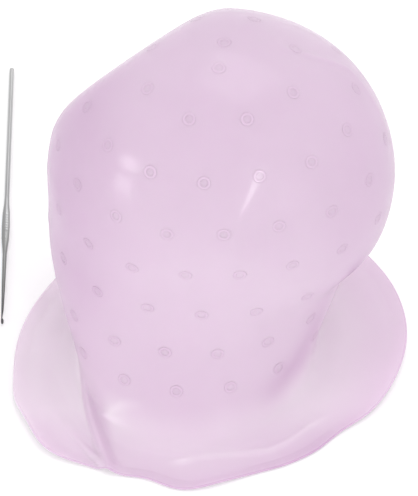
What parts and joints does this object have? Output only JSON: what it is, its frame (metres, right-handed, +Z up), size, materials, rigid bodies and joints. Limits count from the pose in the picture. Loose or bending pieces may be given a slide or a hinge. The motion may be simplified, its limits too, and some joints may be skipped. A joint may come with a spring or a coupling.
{
  "type": "highlighting cap",
  "caption": "Soft rounded cap standing on a wide wavy brim, open below, with a thin pulling hook lying beside it.",
  "frame": {"origin": "middle of the footprint of the cap and its hook, on the surface that they stand on", "axes": "+Z up through the crown, -Y towards the cap's front panel, +X to the right as seen from the front; the hook lies along +Y on the left"},
  "size_m": [0.192, 0.2517, 0.182],
  "materials": {
    "silicone": "soft translucent moulding, satin",
    "steel": "drawn wire with a pressed thumb rest"
  },
  "bodies": {
    "cap": {"crown_shell": "silicone", "brim": "silicone"},
    "hook": {"pull_hook": "steel"}
  },
  "joints": [
    {"name": "hook_lift", "type": "slide", "parent": "cap", "child": "hook", "axis": [0, 0, 1], "range_m": [0, 0.2]}
  ]
}
